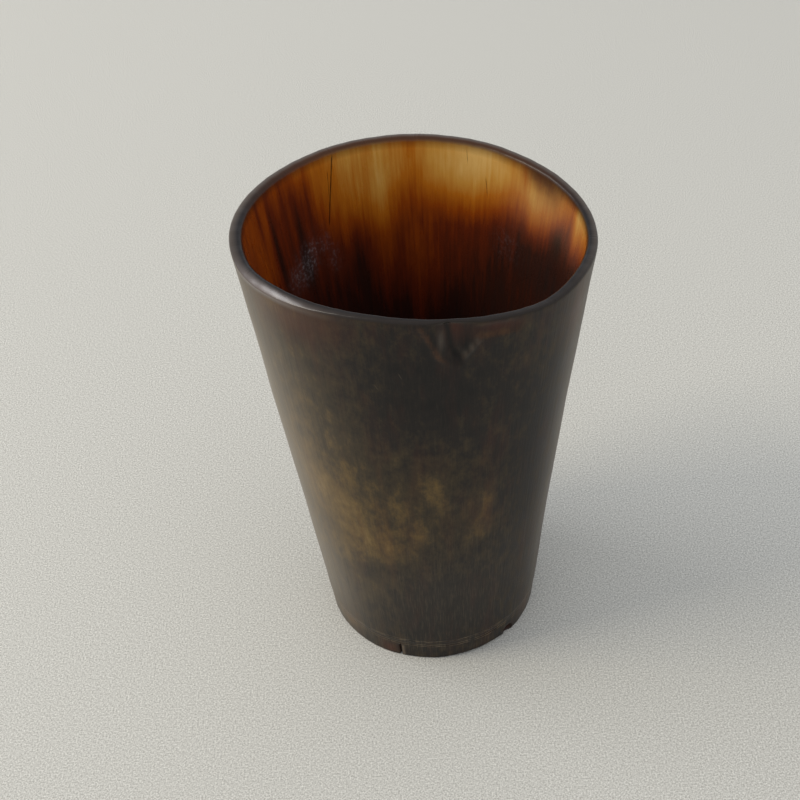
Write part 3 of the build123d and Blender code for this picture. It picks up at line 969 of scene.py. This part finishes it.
def pale_lines(tree, read, noise, turn, height):
    """Where pale lines show outside: what is left of the scribed lines, the nicks and the split's lip."""
    line = 0.0
    for z in LINE_HEIGHTS:
        off = (noise["band"], LINE_STRAY * MM, height)
        off = add(tree, "ShaderNodeMath", off, operation="MULTIPLY_ADD")
        off = add(tree, "ShaderNodeMath", (off, z * MM), operation="SUBTRACT")
        off = add(tree, "ShaderNodeMath", (off,), operation="ABSOLUTE")
        near = add(tree, "ShaderNodeMapRange", (off, 0.0, LINE_HALF_WIDTH * MM, 1.0, 0.0))
        line = add(tree, "ShaderNodeMath", (line, near), operation="MAXIMUM")
    left = add(tree, "ShaderNodeMapRange", (noise["mottle"], *LINE_RANGE))
    line = add(tree, "ShaderNodeMath", (line, left), operation="MULTIPLY")
    nicks = hairlines(tree, turn, height, noise["band"], NICKS)
    nicks = add(tree, "ShaderNodeMath", (nicks, NICK_COVER), operation="MULTIPLY")
    line = add(tree, "ShaderNodeMath", (line, nicks), operation="MAXIMUM")
    split_lip = add(tree, "ShaderNodeMath", (read["split_lip"], SPLIT_LIP_COVER), operation="MULTIPLY")
    return add(tree, "ShaderNodeMath", (line, split_lip), operation="MAXIMUM")


def cut_ends(tree, read, back):
    """The rim's and the foot's cut faces: grey-brown, with a lip that is brown behind and dark in front."""
    edge_back = add(tree, "ShaderNodeMapRange", (back, *EDGE_BACK))
    edge = (edge_back, HORN["edge in front"], HORN["edge behind"])
    edge = add(tree, "ShaderNodeMix", edge, data_type="RGBA")
    lip_back = add(tree, "ShaderNodeMapRange", (back, *LIP_BACK))
    lip = add(tree, "ShaderNodeMix", (lip_back, HORN["lip in front"], HORN["lip behind"]), data_type="RGBA")
    inward = add(tree, "ShaderNodeMapRange", (read["depth"], *LIP_DEPTH))
    return add(tree, "ShaderNodeMix", (inward, edge, lip), data_type="RGBA")


def horn_finish(tree, read, noise):
    """The finish: satin, glossier inside and on the cut faces, finely ridged, polished on the slope."""
    gloss = {"Value": read["cut"], "To Min": OUTSIDE_ROUGHNESS, "To Max": CUT_ROUGHNESS}
    gloss = add(tree, "ShaderNodeMapRange", gloss)
    gloss = add(tree, "ShaderNodeMix", (read["inside"], gloss, INSIDE_ROUGHNESS))
    rough = (noise["mottle"], ROUGHNESS_MOTTLE, gloss)
    rough = add(tree, "ShaderNodeMath", rough, operation="MULTIPLY_ADD")
    ridge = (noise["scratch"], RIDGE_SCRATCHES, noise["fibre"])
    ridge = add(tree, "ShaderNodeMath", ridge, operation="MULTIPLY_ADD")
    bump = {"Strength": RIDGE_STRENGTH, "Distance": RIDGE_HEIGHT * MM, "Height": ridge}
    bump = add(tree, "ShaderNodeBump", bump)
    worn = add(tree, "ShaderNodeMath", (read["cut"], read["inside"]), operation="MAXIMUM")
    coat = add(tree, "ShaderNodeMapRange", {"Value": worn, "To Min": OUTSIDE_COAT, "To Max": WORN_COAT})
    coat = add(tree, "ShaderNodeMath", (coat, read["polish"]), operation="ADD", use_clamp=True)
    return {
        "Roughness": rough,
        "Normal": bump,
        "Coat Weight": coat,
        "Coat Roughness": COAT_ROUGHNESS,
        "Coat IOR": COAT_IOR,
        "IOR": HORN_IOR,
        "Specular IOR Level": HORN_SPECULAR,
    }


def pressed_horn():
    """Cattle horn, pressed, scraped and waxed: dark, satin, finely ridged outside, glossy amber inside."""
    material, tree = new_material("pressed_horn")
    read = {}
    for mark in WALL_MARKS:
        read[mark] = add(tree, "ShaderNodeAttribute", attribute_name=mark).outputs["Fac"]
    grain = add(tree, "ShaderNodeAttribute", attribute_name="grain").outputs["Vector"]
    noise = grain_patterns(tree, grain)
    place = add(tree, "ShaderNodeSeparateXYZ", (grain,)).outputs
    back, height = place["Y"], place["Z"]
    turn = add(tree, "ShaderNodeMath", (back, place["X"]), operation="ARCTAN2")

    # The outside, the inside and the cut faces
    amber, inner = horn_inside(tree, read, noise, grain)
    outer = horn_outside(tree, read, noise, turn, height, amber)
    colour = add(tree, "ShaderNodeMix", (read["inside"], outer, inner), data_type="RGBA")
    colour = add(tree, "ShaderNodeMix", (read["cut"], colour, cut_ends(tree, read, back)), data_type="RGBA")

    # The slope worn on the rim, in a paler brown that also paints part of its highlight, raw reddish horn
    # in the chip, dirt in the hairline cracks, and painted shade in the split and the scar's crease
    cracks = hairlines(tree, turn, height, noise["band"], CRACKS)
    cracks = add(tree, "ShaderNodeMath", (cracks, read["inside"]), operation="MULTIPLY")
    dirt = add(tree, "ShaderNodeMath", (read["crack"], read["gap"]), operation="MAXIMUM")
    dirt = add(tree, "ShaderNodeMath", (dirt, cracks), operation="MAXIMUM")
    colour = layered(tree, colour, {"worn slope and its highlight": read["polish"], "raw horn": read["chip"], "dirt": dirt})
    end_in_shader(tree, {"Base Color": colour, **horn_finish(tree, read, noise)})
    return material


def follow_pattern(tree, pattern, stops, roughness, bump):
    """Colour, roughness and bump that follow one pattern."""
    colour = add(tree, "ShaderNodeValToRGB", (pattern,), stops=stops)
    smoothest, roughest = roughness
    rough = add(tree, "ShaderNodeMapRange", {"Value": pattern, "To Min": smoothest, "To Max": roughest})
    strength, height = bump
    lumps = add(tree, "ShaderNodeBump", {"Strength": strength, "Distance": height * MM, "Height": pattern})
    return {"Base Color": colour, "Roughness": rough, "Normal": lumps}


def scraped_horn():
    """A flat plate of horn, scraped smooth and darkened by drink: brown and streaky, satin."""
    material, tree = new_material("scraped_horn")
    place = add(tree, "ShaderNodeTexCoord").outputs["Object"]
    scale = [1 / (size * MM) for size in PLATE_STREAK]
    along = add(tree, "ShaderNodeMapping", {"Vector": place, "Scale": scale})
    streaks = {"Vector": along, "Scale": 1.0, "Detail": 4.0, "Distortion": 0.6}
    streaks = add(tree, "ShaderNodeTexNoise", streaks).outputs[0]
    stops = ((0.3, "#1d0f08"), (0.5, "#351b0c"), (0.7, "#573315"))
    finish = follow_pattern(tree, streaks, stops, PLATE_ROUGHNESS, PLATE_BUMP)
    end_in_shader(tree, {**finish, "IOR": HORN_IOR})
    return material


def dark_wax():
    """Beeswax and pitch run into the joint: dull, brown, with specks of dirt."""
    material, tree = new_material("dark_wax")
    place = add(tree, "ShaderNodeTexCoord").outputs["Object"]
    lumps = {"Vector": place, "Scale": 1 / (WAX_LUMP * MM), "Detail": 4.0}
    lumps = add(tree, "ShaderNodeTexNoise", lumps).outputs[0]
    stops = ((0.35, "#2a1a0c"), (0.5, "#51371a"), (0.7, "#6d4d26"))
    finish = follow_pattern(tree, lumps, stops, WAX_ROUGHNESS, WAX_BUMP)
    end_in_shader(tree, {**finish, "IOR": WAX_IOR})
    return material


def pale_paper():
    """Matt pale grey paper, under the cup."""
    material, tree = new_material("pale_paper")
    place = add(tree, "ShaderNodeTexCoord").outputs["Object"]
    fibres = {"Vector": place, "Scale": 1 / (PAPER_GRAIN * MM), "Detail": 3.0, "Roughness": NOISE_ROUGHNESS}
    fibres = add(tree, "ShaderNodeTexNoise", fibres).outputs[0]
    colour = add(tree, "ShaderNodeValToRGB", (fibres,), stops=((0.3, "#9d9a92"), (0.7, "#ebe9e0")))
    finish = {"Roughness": PAPER_ROUGHNESS, "Specular IOR Level": PAPER_SPECULAR}
    end_in_shader(tree, {"Base Color": colour, **finish})
    return material


# Stage

def lay_floor():
    """A wide round sheet of paper on the table."""
    mesh = bpy.data.meshes.new("floor")
    turns = [2 * pi * i / FLOOR_SIDES for i in range(FLOOR_SIDES)]
    corners = [(FLOOR_RADIUS * cos(t), FLOOR_RADIUS * sin(t), 0.0) for t in turns]
    mesh.from_pydata(corners, [], [list(range(FLOOR_SIDES))])
    mesh.materials.append(pale_paper())
    floor = bpy.data.objects.new("floor", mesh)
    bpy.context.collection.objects.link(floor)


def hang_light(name, place, target, size, colour, power):
    """A soft square lamp at a place, turned to a target."""
    lamp = bpy.data.lights.new(name, "AREA")
    lamp.size = size
    lamp.color = paint(colour)[:3]
    lamp.energy = power
    holder = bpy.data.objects.new(name, lamp)
    direction = Vector(target) - Vector(place)
    turn = direction.to_track_quat("-Z", "Y").to_matrix().to_4x4()
    holder.matrix_world = Matrix.Translation(place) @ turn
    bpy.context.collection.objects.link(holder)


def light_room():
    """Daylight in a pale room: cool from all round, and from two windows at the left, one further back."""
    world = bpy.data.worlds.new("room")
    world.use_nodes = True
    background = world.node_tree.nodes["Background"]
    background.inputs["Color"].default_value = paint(ROOM_COLOUR)
    background.inputs["Strength"].default_value = ROOM_LEVEL
    bpy.context.scene.world = world
    for window in WINDOWS:
        hang_light(*window)


def set_camera():
    """The camera at the photograph's angle."""
    lens = bpy.data.cameras.new("camera")
    lens.lens = CAMERA_LENS
    lens.sensor_width = CAMERA_SENSOR
    lens.clip_start = CAMERA_NEAR * MM
    camera = bpy.data.objects.new("camera", lens)
    place = Matrix.Translation(Vector(CAMERA_PLACE) * MM)
    pitch = Matrix.Rotation(radians(90 - CAMERA_ELEVATION), 4, "X")
    roll = Matrix.Rotation(radians(CAMERA_ROLL), 4, "Z")
    camera.matrix_world = place @ pitch @ roll
    bpy.context.collection.objects.link(camera)
    bpy.context.scene.camera = camera


def make_cup():
    """The three pieces of the cup, each in place of its solid."""
    tree = turning_tree()
    wall = turned("horn_cup_wall", wall_section(), pressed_horn(), tree)
    disc = turned("horn_cup_base", disc_section(), scraped_horn(), tree)
    seal = turned("horn_cup_seal", seal_section(), dark_wax(), tree)
    surface = Surface(wall.data)
    wear_rim(surface)
    wear_scar(surface)
    wear_foot(surface)
    break_foot(surface)
    tell_materials(surface)
    surface.put_back()
    for piece, node, slot in (
        (wall, "horn_wall", "horn"),
        (disc, "base_disc", "horn_base"),
        (seal, "base_seal", "wax"),
    ):
        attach(piece, "root")
        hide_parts(node)


set_camera()
light_room()
lay_floor()
make_cup()
bpy.context.scene.view_settings.view_transform = "Standard"
